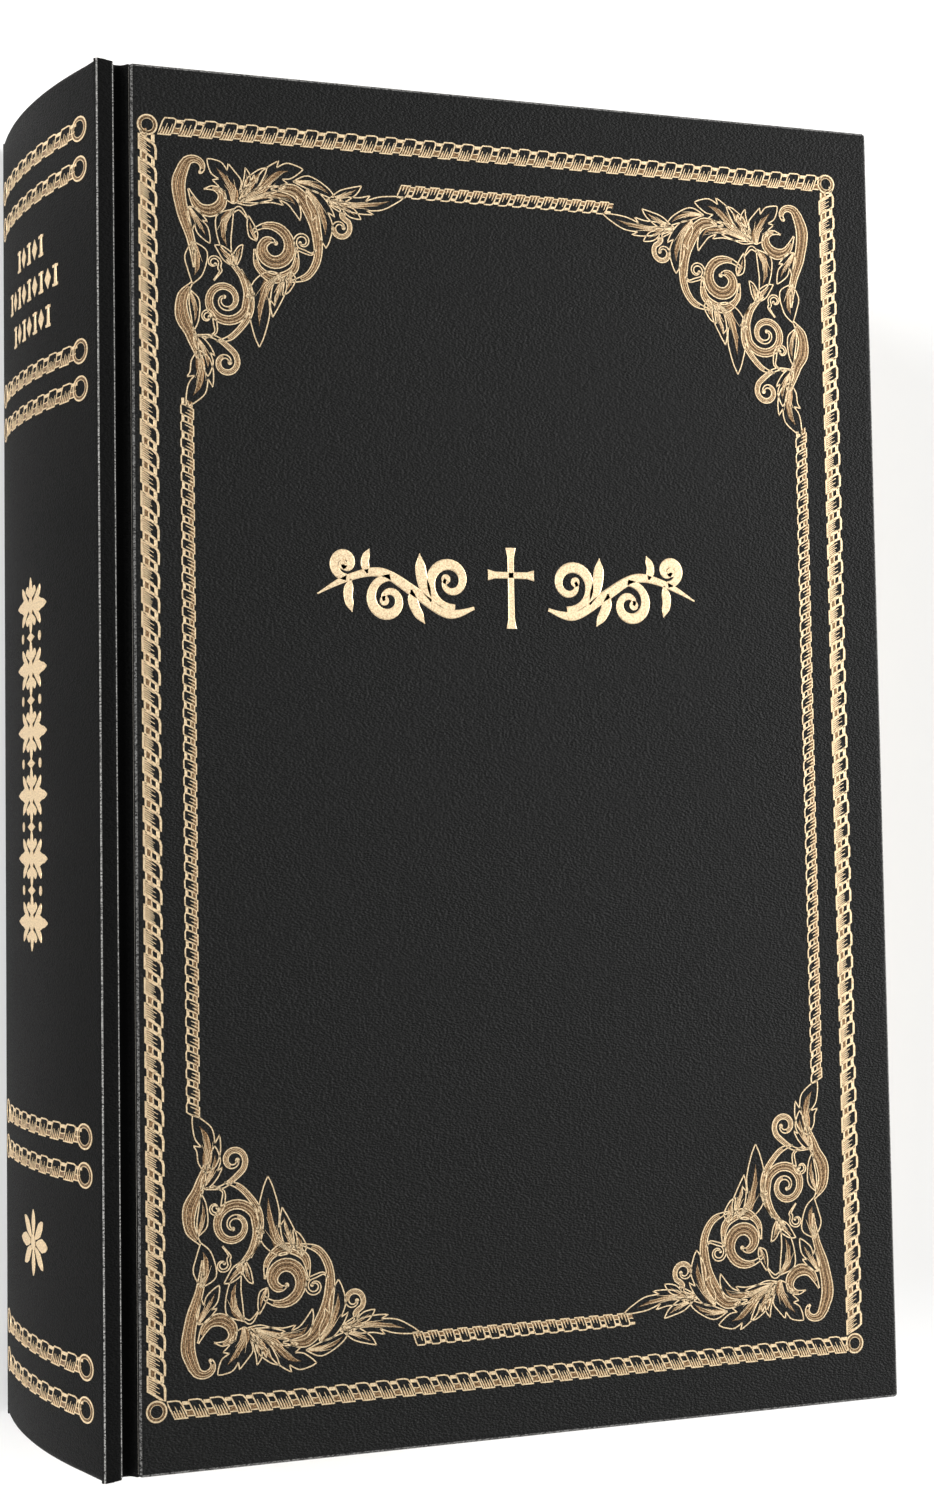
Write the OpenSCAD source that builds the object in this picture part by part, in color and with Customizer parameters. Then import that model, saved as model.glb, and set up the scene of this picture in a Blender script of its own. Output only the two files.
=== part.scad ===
// Case-bound bible lying on its back cover.
// +X runs from the spine to the fore edge, +Y to the head, +Z out of the front cover.

/* [Case] */
// Height of the boards, head to tail
board_h = 230; // [180:1:300]
// Width of the boards, joint to fore edge
board_w = 141; // [110:1:200]
// Thickness of the closed book over both covers
book_t = 63; // [45:1:80]
// Thickness of one greyboard
board_t = 2.4; // [1.5:0.1:4]
// Thickness of the leatherette
leather_t = 0.6; // [0.4:0.1:1]
// Width of the leatherette folded in behind a board
turn_in = 14; // [8:1:20]
// Corner radius of the covers
corner_r = 0.7; // [0.5:0.1:4]

/* [Spine and joints] */
// Distance from a board to the shoulder ridge of the spine
joint_w = 5.9; // [4:0.1:9]
// Width of the pressed groove beside a board
groove_w = 2.6; // [1.5:0.1:3.5]
// Depth of the pressed groove
groove_d = 2; // [0.8:0.1:2]
// How far the front shoulder stands above the front cover
shoulder_rise = 0.6; // [0:0.1:1.5]
// How far the spine bulges past its shoulders
spine_bulge = 3.2; // [2:0.1:6]
// Thickness of the card that stiffens the spine
card_t = 0.8; // [0.5:0.1:1]

/* [Book block] */
// How far the boards stand past the leaves
square = 4; // [2:0.5:6]
// Depth of the hollow in the fore edge
fore_hollow = 2.6; // [1:0.1:4]
// Groups of gatherings in each half of the block
groups_per_half = 8; // [2:1:10]
// Thickness of one endpaper leaf
leaf_t = 0.3; // [0.2:0.1:0.4]
// Diameter of the headband and tailband beads
band_d = 2.2; // [1.5:0.1:3]

/* [Foil] */
// Thickness of the stamped foil
foil_t = 0.12; // [0.08:0.01:0.2]
// Width of the outer rope border
rope_w = 3.1; // [2:0.1:4]
// Width of the inner chain line
chain_w = 2.4; // [1.5:0.1:3]
// Height of the emblem on the front cover
emblem_h = 14; // [10:1:24]
// Width of the emblem on the front cover
emblem_w = 72; // [40:1:90]

/* [Hidden] */

$fn = 48;
eps = 0.01;
gap = 0.1;

// Cover build-up, from the outer face inwards
cover_t = board_t + 2 * leather_t;
paste_t = 0.2;
paste_margin = 5;

// Spine arc: it passes through both shoulder ridges
shoulder_low = 0.2;
shoulder_high = book_t + shoulder_rise;
spine_half = (shoulder_high - shoulder_low) / 2;
spine_mid_z = (shoulder_high + shoulder_low) / 2;
spine_r = (spine_half * spine_half + spine_bulge * spine_bulge) / (2 * spine_bulge);
spine_x = spine_r - joint_w - spine_bulge;
card_r = spine_r - leather_t;
hollow_r = card_r - card_t - leather_t;
lining_t = 0.3;
mull_r = hollow_r - 0.3;
lining_r = mull_r - lining_t;

// Book block between the pastedowns
block_x = -4.2;
block_h = board_h - 2 * square;
fore_x = board_w - square;
block_low = cover_t + paste_t + gap;
block_high = book_t - block_low;
block_mid = (block_low + block_high) / 2;
half_gap = 0.15;
leaf_pitch = leaf_t + gap;
leaf_x = 0.4;
group_low = block_low + leaf_pitch;
group_high = block_high - 2 * leaf_pitch;
rear_group_t = (block_mid - half_gap - group_low) / groups_per_half;
front_group_t = (group_high - block_mid - half_gap) / groups_per_half;
fore_half = (block_high - block_low) / 2;
fore_r = (fore_half * fore_half + fore_hollow * fore_hollow) / (2 * fore_hollow);

// Rope border: a rectangle centred on the visible cover, joint included
face_mid_x = (board_w - joint_w) / 2;
rope_half_w = face_mid_x - 2.9;
rope_half_h = board_h / 2 - 10.2;
ring_d = rope_w * 1.15;
chain_half_w = rope_half_w - 6.5;
chain_half_h = rope_half_h - 7.8;
corner_w = 41;
corner_h = 42;
emblem_y = 29;

// Spine ornaments, as distances along Y
rope_pair_y = [104.6, 97.9, 67.3, 61.1];
spine_scale = board_h / 230;
title_l = 65;
title_w = 18;
spine_emblem_d = 12;
spine_emblem_y = -81;
small_row_y = [90, 82, 74];
small_row_w = 26;

// The origin is the middle of the base
origin_x = (board_w - joint_w - spine_bulge - foil_t) / 2;

leather = "#2b2c2b";
paper = "#efe6cf";
greyboard = "#9b9384";
gold = "#c8a578";

// Stands a profile drawn in X and Z up and runs it along Y
module along_y(length, y = 0) {
    translate([-origin_x, y, 0]) rotate([90, 0, 0]) linear_extrude(length, center = true) children();
}

// Turns a cover laid at the back into the front cover
module to_front() {
    translate([0, 0, book_t]) mirror([0, 0, 1]) children();
}

// A plate with its fore-edge corners rounded, from the joint at x = 0
module cover_plate(w, h, t, r) {
    linear_extrude(t) {
        translate([0, -h / 2]) square([w - r, h]);
        translate([0, -h / 2 + r]) square([w, h - 2 * r]);
        for (side = [-1, 1]) translate([w - r, side * (h / 2 - r)]) circle(r);
    }
}

module cover_leather() {
    translate([-origin_x, 0, 0]) difference() {
        cover_plate(board_w, board_h, cover_t, corner_r);
        translate([-1, 0, leather_t])
            cover_plate(board_w - leather_t + 1, board_h - 2 * leather_t, board_t, corner_r - leather_t / 2);
        translate([-1, -board_h / 2 + turn_in, leather_t])
            cube([board_w - turn_in + 1, board_h - 2 * turn_in, cover_t]);
    }
}

module cover_board() {
    translate([-origin_x, 0, leather_t])
        cover_plate(board_w - leather_t, board_h - 2 * leather_t, board_t, corner_r - leather_t / 2);
}

// Endpaper glued to a board, with the filler card between the turn-ins
module pastedown() {
    translate([-origin_x, 0, 0]) {
        translate([0, -board_h / 2 + paste_margin, cover_t])
            cube([board_w - paste_margin, board_h - 2 * paste_margin, paste_t]);
        translate([0, -board_h / 2 + turn_in, cover_t - leather_t])
            cube([board_w - turn_in, board_h - 2 * turn_in, leather_t + eps]);
    }
}

// Flexible leatherette from the shoulder ridge, over the lip and down into the groove
module joint_leather(ridge_z, face_z, inward) {
    lip_z = ridge_z + inward * 0.2;
    floor_z = face_z + inward * groove_d;
    ridge_x = -joint_w + gap / 2;
    wall = 0.35;
    t = inward * leather_t;
    along_y(board_h) polygon([
        [ridge_x, ridge_z], [-groove_w - wall, lip_z], [-groove_w, lip_z + t],
        [-groove_w + wall, floor_z], [-2 * wall, floor_z], [-wall, face_z], [-gap, face_z],
        [-gap, floor_z + t], [-groove_w - wall, floor_z + t], [-groove_w - 2 * wall, lip_z + t],
        [ridge_x, ridge_z + t]
    ]);
}

// Part of a ring about the spine's centre, between two radii, within half_z of the middle
module spine_arc(outer, inner, length, half_z, y = 0, limit_x = 0) {
    along_y(length, y) intersection() {
        translate([spine_x, spine_mid_z]) difference() {
            circle(outer, $fn = 180);
            circle(inner, $fn = 180);
        }
        translate([-2 * joint_w - 2 * spine_bulge, spine_mid_z - half_z])
            square([2 * joint_w + 2 * spine_bulge + limit_x, 2 * half_z]);
    }
}

module spine_leather() {
    color(leather) difference() {
        spine_arc(spine_r, hollow_r, board_h, spine_half, limit_x = -joint_w - gap / 2);
        spine_arc(card_r, card_r - card_t, board_h - 2 * leather_t, spine_half - 1);
        spine_arc(card_r - card_t + eps, hollow_r - 1, board_h - 2 * turn_in, spine_half + 1);
    }
}

module spine_card() {
    color(greyboard)
        spine_arc(card_r, card_r - card_t, board_h - 2 * leather_t, spine_half - 1, limit_x = -joint_w - gap / 2);
}

module mull_cloth() {
    color("#e4dcc6") spine_arc(mull_r, lining_r, block_h - 16, fore_half - 2, limit_x = block_x - gap);
}

// Kraft lining and glue between the mull and the flat back of the block
module spine_lining() {
    color("#a98a5f") along_y(block_h - 16) intersection() {
        translate([spine_x, spine_mid_z]) circle(lining_r, $fn = 180);
        translate([-joint_w - spine_bulge, spine_mid_z - fore_half])
            square([joint_w + spine_bulge + block_x - gap, 2 * fore_half]);
    }
}

// Sewn band with a round bead, standing over the end of the block
module end_band(side) {
    bead = band_d / 2;
    y_mid = side * (block_h / 2 + gap + bead);
    spine_arc(mull_r, mull_r - 1.6 * bead, band_d, fore_half - 2, y_mid);
}

module headband() { color("#b8924a") end_band(1); }
module tailband() { color("#b8924a") end_band(-1); }

// A slab of leaves with the hollow fore edge
module leaves(z_low, z_high, start_x = block_x) {
    along_y(block_h) difference() {
        translate([start_x, z_low]) square([fore_x - start_x, z_high - z_low]);
        translate([fore_x - fore_hollow + fore_r, block_mid]) circle(fore_r, $fn = 120);
    }
}

module rear_gatherings(i) {
    z = group_low + (i - 1) * rear_group_t;
    color(paper) leaves(z, z + rear_group_t);
}

module front_gatherings(i) {
    z = block_mid + half_gap + (i - 1) * front_group_t;
    color(paper) leaves(z, z + front_group_t);
}

module rear_flyleaf() { color(paper) leaves(block_low, block_low + leaf_t); }
module front_flyleaf() { color(paper) leaves(block_high - leaf_t, block_high, leaf_x); }
module title_leaf() { color(paper) leaves(block_high - leaf_pitch - leaf_t, block_high - leaf_pitch, leaf_x); }

// Strip that ties the flyleaf and the title leaf to the block, up to where they lift
module front_endpaper_guard() {
    guard_t = leaf_pitch + leaf_t;
    color(paper) along_y(block_h)
        translate([block_x, block_high - guard_t]) square([leaf_x - 2 * gap - block_x, guard_t]);
}

module back_board() { color(greyboard) cover_board(); }
module back_cover_leather() { color(leather) cover_leather(); }
module back_pastedown() { color(paper) pastedown(); }
module back_joint_leather() { color(leather) joint_leather(shoulder_low, 0, 1); }
module front_board() { color(greyboard) to_front() cover_board(); }
module front_cover_leather() { color(leather) to_front() cover_leather(); }
module front_pastedown() { color(paper) to_front() pastedown(); }
module front_joint_leather() { color(leather) joint_leather(shoulder_high, book_t, -1); }

// Foil lies on the front cover, with its outline drawn about the middle of the visible face
module front_foil() {
    color(gold) translate([face_mid_x - origin_x, 0, book_t]) linear_extrude(foil_t) children();
}

module frame_outline(half_w, half_h, w) {
    difference() {
        square([2 * half_w + w, 2 * half_h + w], center = true);
        square([2 * half_w - w, 2 * half_h - w], center = true);
    }
}

module front_rope_foil() {
    front_foil() {
        frame_outline(rope_half_w, rope_half_h, rope_w);
        for (sx = [-1, 1], sy = [-1, 1]) translate([sx * rope_half_w, sy * rope_half_h]) circle(d = ring_d);
    }
}

// The chain stops at each corner, where an ornament takes its place
module front_chain_foil() {
    side_l = 2 * (chain_half_h - corner_h + 1.5 * chain_w);
    top_l = 2 * (chain_half_w - corner_w + chain_w);
    front_foil() for (s = [-1, 1]) {
        translate([s * chain_half_w, 0]) square([chain_w, side_l], center = true);
        translate([0, s * chain_half_h]) square([top_l, chain_w], center = true);
    }
}

// One scrolled corner: two stems with round scrolls and a leaf that points to the middle
module corner_outline() {
    stem = 6;
    scroll = 7;
    translate([0, -corner_h]) square([stem, corner_h - 2 * scroll]);
    translate([2 * scroll, -stem]) square([corner_w - 2 * scroll, stem]);
    for (p = [[scroll, -2 * scroll], [2 * scroll, -scroll], [2 * scroll, -2 * scroll]]) translate(p) circle(scroll);
    rotate(-45) translate([3 * scroll, 0]) scale([2, 1]) circle(scroll, $fn = 4);
}

module front_corner_foil() {
    front_foil() for (sx = [0, 1], sy = [0, 1])
        mirror([sx, 0]) mirror([0, sy])
            translate([-chain_half_w - chain_w, chain_half_h + 1.5 * chain_w]) corner_outline();
}

// A plain cross between two flourishes
module front_emblem_foil() {
    cross_w = emblem_h / 6;
    front_foil() translate([0, emblem_y]) {
        square([cross_w, emblem_h], center = true);
        translate([0, emblem_h / 6]) square([emblem_h * 0.62, cross_w], center = true);
        for (s = [-1, 1]) translate([s * emblem_w / 4, 0]) scale([emblem_w / emblem_h / 2.6, 0.7])
            circle(d = emblem_h * 0.8, $fn = 4);
    }
}

// Foil on the spine follows its arc
module spine_foil(y, length, low, high) {
    outer = spine_r + foil_t;
    along_y(length, y) intersection() {
        translate([spine_x, spine_mid_z]) difference() {
            circle(outer, $fn = 180);
            circle(spine_r, $fn = 180);
        }
        translate([-2 * joint_w - 2 * spine_bulge, spine_mid_z + low]) square([joint_w * 3, high - low]);
    }
}

module spine_rope_foil() {
    reach = spine_half - 3.2;
    color(gold) for (y = rope_pair_y, s = [-1, 1]) spine_foil(s * y * spine_scale, rope_w, -reach, reach);
}

module spine_title_foil() {
    color(gold) spine_foil(0, title_l, -title_w / 2, title_w / 2);
}

module spine_emblem_foil() {
    color(gold) spine_foil(spine_emblem_y, spine_emblem_d, -spine_emblem_d / 2, spine_emblem_d / 2);
}

module spine_small_foil() {
    color(gold) for (y = small_row_y) spine_foil(y, 2, -small_row_w / 2, small_row_w / 2);
}

back_board();
back_cover_leather();
back_pastedown();
back_joint_leather();
rear_flyleaf();
rear_gatherings(1);  // rear_gatherings_1
rear_gatherings(2);  // rear_gatherings_2
rear_gatherings(3);  // rear_gatherings_3
rear_gatherings(4);  // rear_gatherings_4
rear_gatherings(5);  // rear_gatherings_5
rear_gatherings(6);  // rear_gatherings_6
rear_gatherings(7);  // rear_gatherings_7
rear_gatherings(8);  // rear_gatherings_8
spine_leather();
spine_card();
spine_lining();
mull_cloth();
headband();
tailband();
spine_rope_foil();
spine_title_foil();
spine_emblem_foil();
spine_small_foil();
front_gatherings(1);  // front_gatherings_1
front_gatherings(2);  // front_gatherings_2
front_gatherings(3);  // front_gatherings_3
front_gatherings(4);  // front_gatherings_4
front_gatherings(5);  // front_gatherings_5
front_gatherings(6);  // front_gatherings_6
front_gatherings(7);  // front_gatherings_7
front_gatherings(8);  // front_gatherings_8
front_joint_leather();
front_endpaper_guard();
title_leaf();
front_flyleaf();
front_board();
front_cover_leather();
front_pastedown();
front_rope_foil();
front_chain_foil();
front_corner_foil();
front_emblem_foil();
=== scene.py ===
import random
from math import asin, ceil, cos, dist, exp, hypot, pi, radians, sin, sqrt, tau
import bpy
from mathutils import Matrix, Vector


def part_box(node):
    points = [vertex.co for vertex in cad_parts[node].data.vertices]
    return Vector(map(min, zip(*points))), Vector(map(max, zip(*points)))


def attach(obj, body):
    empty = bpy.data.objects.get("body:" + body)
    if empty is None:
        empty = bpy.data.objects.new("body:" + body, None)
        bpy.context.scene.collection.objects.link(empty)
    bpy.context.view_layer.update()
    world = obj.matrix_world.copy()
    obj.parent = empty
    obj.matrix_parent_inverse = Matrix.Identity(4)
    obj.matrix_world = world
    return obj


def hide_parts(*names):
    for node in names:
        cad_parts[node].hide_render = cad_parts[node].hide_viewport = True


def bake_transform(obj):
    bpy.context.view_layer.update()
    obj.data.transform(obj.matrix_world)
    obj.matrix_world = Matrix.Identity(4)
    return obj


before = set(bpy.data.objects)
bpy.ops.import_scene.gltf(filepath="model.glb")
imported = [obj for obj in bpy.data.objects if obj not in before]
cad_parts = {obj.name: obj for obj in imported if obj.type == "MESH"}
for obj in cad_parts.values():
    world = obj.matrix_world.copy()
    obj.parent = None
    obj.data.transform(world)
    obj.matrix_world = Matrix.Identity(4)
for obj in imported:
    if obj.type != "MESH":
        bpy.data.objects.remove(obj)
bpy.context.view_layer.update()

# ---------------------------------------------------------------- sizes, in millimetres
# x = 0 is the hinge edge of the boards, y = 0 the middle of the height, z = 0 the underside
MM = 0.001


def box_mm(node):
    """Lowest and highest corner of a CAD node, in millimetres of the frame."""
    low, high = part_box(node)
    return [c / MM for c in low], [c / MM for c in high]


front_low, front_high = box_mm("front_cover_leather")
_, back_high = box_mm("back_cover_leather")
spine_low, spine_high = box_mm("spine_leather")
_, fly_high = box_mm("front_flyleaf")
guard_low, guard_high = box_mm("front_endpaper_guard")

HINGE = front_low[0]                 # the boards' hinge edge, in the frame
BOARD_W = front_high[0] - HINGE
HALF_H = front_high[1]
FACE = front_high[2]                 # outer face of the front cover
COVER_T = back_high[2]
LEATHER_T = 0.6
TURN_IN = 14
EDGE_R = 0.7                         # rounding where leather wraps a board
CORNER_R = 0.7

RIDGE_X = spine_high[0] - HINGE + 0.05
SHOULDER_LOW = spine_low[2]
SHOULDER_HIGH = spine_high[2]
BULGE = RIDGE_X - (spine_low[0] - HINGE)
HALF_T = (SHOULDER_HIGH - SHOULDER_LOW) / 2
MID_Z = (SHOULDER_HIGH + SHOULDER_LOW) / 2
SPINE_R = (HALF_T ** 2 + BULGE ** 2) / (2 * BULGE)
SPINE_X = RIDGE_X - BULGE + SPINE_R
SPINE_T = 2.0                        # leather, card and turned-in leather together
RIDGE_R = 0.9                        # rounding of a shoulder ridge

GROOVE_W = 2.6
GROOVE_D = 2.1
LIP_Z = SHOULDER_HIGH - 0.2
EAR = 0.25                           # how far a ridge stands past the head and the tail
EAR_FLAT = 1.1                       # flat top of an ear, measured from the spine's edge
EAR_FADE = 0.8                       # how fast it falls away on the cover's side
EAR_FADE_SPINE = 2.6                 # and on the spine's side

BLOCK_X = guard_low[0] - HINGE
BLOCK_HALF_H = fly_high[1]
FORE_X = fly_high[0] - HINGE
LEAF_X = guard_high[0] - HINGE + 0.1

FACE_MID = (BOARD_W + RIDGE_X) / 2   # middle of the visible cover, joint included


def at(x, y, z):
    """A point of the book, from millimetres of the boards' own frame to the shared frame."""
    return Vector(((x + HINGE) * MM, y * MM, z * MM))


# ---------------------------------------------------------------- camera
CAMERA_PLACE = (-196.4, -13.4, 504.9)
CAMERA_TILT = (4.51, -23.16, -0.965)
SENSOR = 36.0
LENS = 67.55
SHIFT_UP = -0.0787

camera_data = bpy.data.cameras.new("camera")
camera_data.sensor_width = SENSOR
camera_data.lens = LENS
camera_data.shift_y = SHIFT_UP
camera = bpy.data.objects.new("camera", camera_data)
camera.location = [c * MM for c in CAMERA_PLACE]
camera.rotation_euler = [radians(a) for a in CAMERA_TILT]
bpy.context.scene.collection.objects.link(camera)
bpy.context.scene.camera = camera
bpy.context.scene.view_settings.view_transform = "Standard"


# ---------------------------------------------------------------- material helpers
class Nodes:
    """A short way to write one material's node tree."""

    def __init__(self, name):
        self.material = bpy.data.materials.new(name)
        self.material.use_nodes = True
        self.tree = self.material.node_tree
        self.shader = self.tree.nodes["Principled BSDF"]

    def add(self, kind, **values):
        node = self.tree.nodes.new(kind)
        for key, value in values.items():
            if hasattr(node, key):
                setattr(node, key, value)
            else:
                node.inputs[key.replace("_", " ")].default_value = value
        return node

    def link(self, out, into):
        self.tree.links.new(out, into)

    def coords(self, kind, scale=(1, 1, 1)):
        """Texture coordinates in metres, stretched by scale."""
        source = self.add("ShaderNodeTexCoord")
        mapping = self.add("ShaderNodeMapping", Scale=scale)
        self.link(source.outputs[kind], mapping.inputs["Vector"])
        return mapping.outputs["Vector"]

    def noise(self, vector, size_mm, detail=3.0, rough=0.5):
        node = self.add("ShaderNodeTexNoise", Scale=1 / (size_mm * MM), Detail=detail, Roughness=rough)
        self.link(vector, node.inputs["Vector"])
        return node.outputs["Fac"]

    def cells(self, vector, size_mm):
        node = self.add("ShaderNodeTexVoronoi", Scale=1 / (size_mm * MM))
        self.link(vector, node.inputs["Vector"])
        return node.outputs["Distance"]

    def math(self, operation, a, b=0.0, c=0.0):
        node = self.add("ShaderNodeMath", operation=operation)
        for socket, value in zip(node.inputs, (a, b, c)):
            if isinstance(value, (int, float)):
                socket.default_value = value
            else:
                self.link(value, socket)
        return node.outputs[0]

    def total(self, *parts):
        """Sum of (value, weight) parts."""
        terms = [self.math("MULTIPLY", value, weight) for value, weight in parts]
        result = terms[0]
        for term in terms[1:]:
            result = self.math("ADD", result, term)
        return result

    def ramp(self, factor, stops):
        """A colour ramp; stops are (position, colour)."""
        node = self.add("ShaderNodeValToRGB")
        elements = node.color_ramp.elements
        while len(elements) < len(stops):
            elements.new(0.5)
        for element, (place, colour) in zip(elements, stops):
            element.position = place
            element.color = (*colour, 1)
        self.link(factor, node.inputs["Fac"])
        return node.outputs["Color"]

    def spread(self, factor, low, high, from_low=0.0, from_high=1.0):
        """Maps factor to the range from low to high."""
        node = self.add("ShaderNodeMapRange", From_Min=from_low, From_Max=from_high,
                        To_Min=low, To_Max=high)
        self.link(factor, node.inputs["Value"])
        return node.outputs["Result"]

    def mix(self, factor, a, b):
        node = self.add("ShaderNodeMix", data_type="RGBA")
        self.link(factor, node.inputs["Factor"])
        for socket, value in ((node.inputs["A"], a), (node.inputs["B"], b)):
            if isinstance(value, tuple):
                socket.default_value = (*value, 1)
            else:
                self.link(value, socket)
        return node.outputs["Result"]

    def bump(self, height, depth_mm, strength=1.0):
        node = self.add("ShaderNodeBump", Strength=strength, Distance=depth_mm * MM)
        self.link(height, node.inputs["Height"])
        self.link(node.outputs["Normal"], self.shader.inputs["Normal"])

    def set(self, **values):
        for key, value in values.items():
            socket = self.shader.inputs[key.replace("_", " ")]
            if isinstance(value, (int, float)):
                socket.default_value = value
            elif isinstance(value, tuple):
                socket.default_value = (*value, 1)
            else:
                self.link(value, socket)


# ---------------------------------------------------------------- materials
GRAIN = 0.38                         # size of one pebble of the leatherette, mm


def leatherette(name, kind="Object", wear_and_sheen=0.0, dull_and_shaded=0.0):
    """Fine-grained black leatherette; the wear setting lightens specks, painting wear together with a
    painted highlight on rounded edges, and the dullness setting makes it rougher and darkens it as painted
    shade.
    """
    m = Nodes(name)
    place = m.coords(kind, (0.75, 1.25, 1))
    grain = m.total((m.cells(place, GRAIN), 0.7), (m.noise(place, GRAIN * 0.9, 4, 0.6), 0.6))
    cloudy = m.noise(place, 35, 2)
    # painted shade: the dullness setting also darkens the colour, for the darker copy on the spine and
    # joints
    painted_shade_level = 1 - 0.6 * dull_and_shaded
    base = m.ramp(grain, [(0.3, (0.001 * painted_shade_level, 0.0011 * painted_shade_level, 0.001 * painted_shade_level)),
                          (0.85, (0.0066 * painted_shade_level, 0.0068 * painted_shade_level, 0.0064 * painted_shade_level))])
    # lighter specks: wear, and a painted highlight along rounded edges
    if wear_and_sheen:
        specks = m.spread(m.noise(place, 0.35, 3, 0.7), 0, 1, 0.4, 0.6)
        base = m.mix(specks, base, (wear_and_sheen, wear_and_sheen * 0.98, wear_and_sheen * 0.94))
    m.set(Base_Color=base, IOR=1.25 - 0.085 * dull_and_shaded)
    m.set(Roughness=m.spread(m.math("ADD", grain, m.math("MULTIPLY", cloudy, 0.4)),
                             0.34 + 0.15 * dull_and_shaded, 0.54 + 0.15 * dull_and_shaded, 0.3, 1.1))
    m.bump(grain, 0.16, 1.0)
    return m.material


def speckled(name, grain, stops, roughness, relief, **extra):
    """A material whose colour, roughness and relief all follow one noise."""
    m = Nodes(name)
    flecks = m.noise(m.coords("Object"), *grain)
    m.set(Base_Color=m.ramp(flecks, stops), Roughness=m.spread(flecks, *roughness), **extra)
    m.bump(flecks, *relief)
    return m.material


def foil(name, stops):
    """Hot-stamped gold."""
    return speckled(name, (0.28, 4, 0.65), stops, (0.4, 0.62), (0.03, 0.6), Metallic=1.0)


def paper(name, light, dark, fibre_mm=0.5, kind="Object"):
    """Uncoated paper with faint fibres and a slightly uneven tone."""
    m = Nodes(name)
    place = m.coords(kind)
    fibres = m.noise(place, fibre_mm, 5, 0.7)
    tone = m.noise(place, 40, 2)
    m.set(Base_Color=m.ramp(m.total((fibres, 0.35), (tone, 0.65)), [(0.3, dark), (0.7, light)]))
    m.set(Roughness=m.spread(fibres, 0.7, 0.9), Specular_IOR_Level=0.3)
    m.bump(fibres, 0.02, 0.4)
    return m.material


def leaf_edges(name):
    """Edges of many thin leaves: long fine lines, in groups that differ a little in tone."""
    m = Nodes(name)
    fine = m.noise(m.coords("UV", (16, 0.04, 1)), 2.4, 3, 0.7)
    broad = m.noise(m.coords("UV", (3, 0.006, 1)), 2.4, 2)
    specks = m.noise(m.coords("UV"), 0.3, 2)
    lines = m.total((fine, 0.55), (broad, 0.3), (specks, 0.15))
    m.set(Base_Color=m.ramp(lines, [(0.4, (0.36, 0.30, 0.215)), (0.5, (0.60, 0.54, 0.425)),
                                    (0.6, (0.74, 0.69, 0.58))]))
    m.set(Roughness=m.spread(lines, 0.75, 0.92), Specular_IOR_Level=0.25)
    m.bump(lines, 0.05, 0.7)
    return m.material


def greyboard(name):
    """Bare board of pulped paper with light and dark flecks."""
    stops = [(0.35, (0.20, 0.185, 0.16)), (0.6, (0.33, 0.31, 0.275)), (0.75, (0.45, 0.43, 0.39))]
    return speckled(name, (0.6, 5, 0.75), stops, (0.85, 0.97), (0.08, 0.6))


def woven(name, light, dark, thread_mm):
    """Open weave of crossed threads."""
    m = Nodes(name)
    place = m.coords("Object")
    bands = []
    for direction in ("Y", "Z"):
        wave = m.add("ShaderNodeTexWave", bands_direction=direction, Scale=0.5 / (thread_mm * MM))
        m.link(place, wave.inputs["Vector"])
        bands.append(wave.outputs["Fac"])
    weave = m.math("MAXIMUM", *bands)
    m.set(Base_Color=m.ramp(weave, [(0.35, dark), (0.8, light)]))
    m.set(Roughness=m.spread(weave, 0.95, 0.8), Sheen_Weight=0.2)
    m.bump(weave, 0.15, 0.8)
    return m.material


def thread(name, light, dark):
    """Twisted embroidery thread."""
    stops = [(0.3, dark), (0.7, light)]
    return speckled(name, (0.25, 4, 0.7), stops, (0.45, 0.7), (0.05, 0.7), Sheen_Weight=0.3)


BLACK = leatherette("leatherette")
# a darker copy of the same leather for the spine and joints: painted shade
SHADED_BLACK_UV = leatherette("leatherette_joint", "UV", dull_and_shaded=1)
# edge leather: its light specks paint wear and the highlights of rounded edges
WORN_AND_SHEEN = leatherette("leatherette_edge_wear_and_sheen", wear_and_sheen=0.2)
WORN_AND_SHEEN_UV = leatherette("leatherette_joint_edge_wear_and_sheen", "UV", wear_and_sheen=0.42)
GOLD = foil("gold_foil", [(0.3, (0.60, 0.42, 0.24)), (0.58, (1.0, 0.81, 0.54))])
DIM_GOLD = foil("gold_foil_hatched", [(0.4, (0.10, 0.055, 0.026)), (0.64, (0.46, 0.30, 0.165))])
ENDPAPER = paper("endpaper", (0.74, 0.67, 0.53), (0.66, 0.59, 0.45), 0.6, "UV")
LEAF_PAPER = paper("bible_paper", (0.77, 0.72, 0.61), (0.71, 0.65, 0.54), 0.4, "UV")
EDGES = leaf_edges("leaf_edges")
BOARD = greyboard("greyboard")
KRAFT = paper("kraft", (0.40, 0.27, 0.15), (0.28, 0.18, 0.095), 0.9)
MULL = woven("mull", (0.80, 0.76, 0.66), (0.42, 0.36, 0.27), 0.9)
PALE_THREAD = thread("band_thread", (0.72, 0.52, 0.24), (0.42, 0.27, 0.10))
DARK_THREAD = thread("band_thread_dark", (0.05, 0.045, 0.04), (0.012, 0.011, 0.01))


# ---------------------------------------------------------------- mesh helpers
def add_piece(name, verts, faces, materials, face_slots=None, uvs=None, smooth=True):
    """A mesh object from points in metres, with one UV pair for each face corner."""
    mesh = bpy.data.meshes.new(name)
    mesh.from_pydata([tuple(v) for v in verts], [], faces)
    for material in materials:
        mesh.materials.append(material)
    if face_slots:
        mesh.polygons.foreach_set("material_index", face_slots)
    if uvs:
        layer = mesh.uv_layers.new(name="metres")
        layer.data.foreach_set("uv", [c for uv in uvs for c in uv])
    mesh.polygons.foreach_set("use_smooth", [smooth] * len(mesh.polygons))
    mesh.update()
    piece = bpy.data.objects.new(name, mesh)
    bpy.context.scene.collection.objects.link(piece)
    return piece


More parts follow.
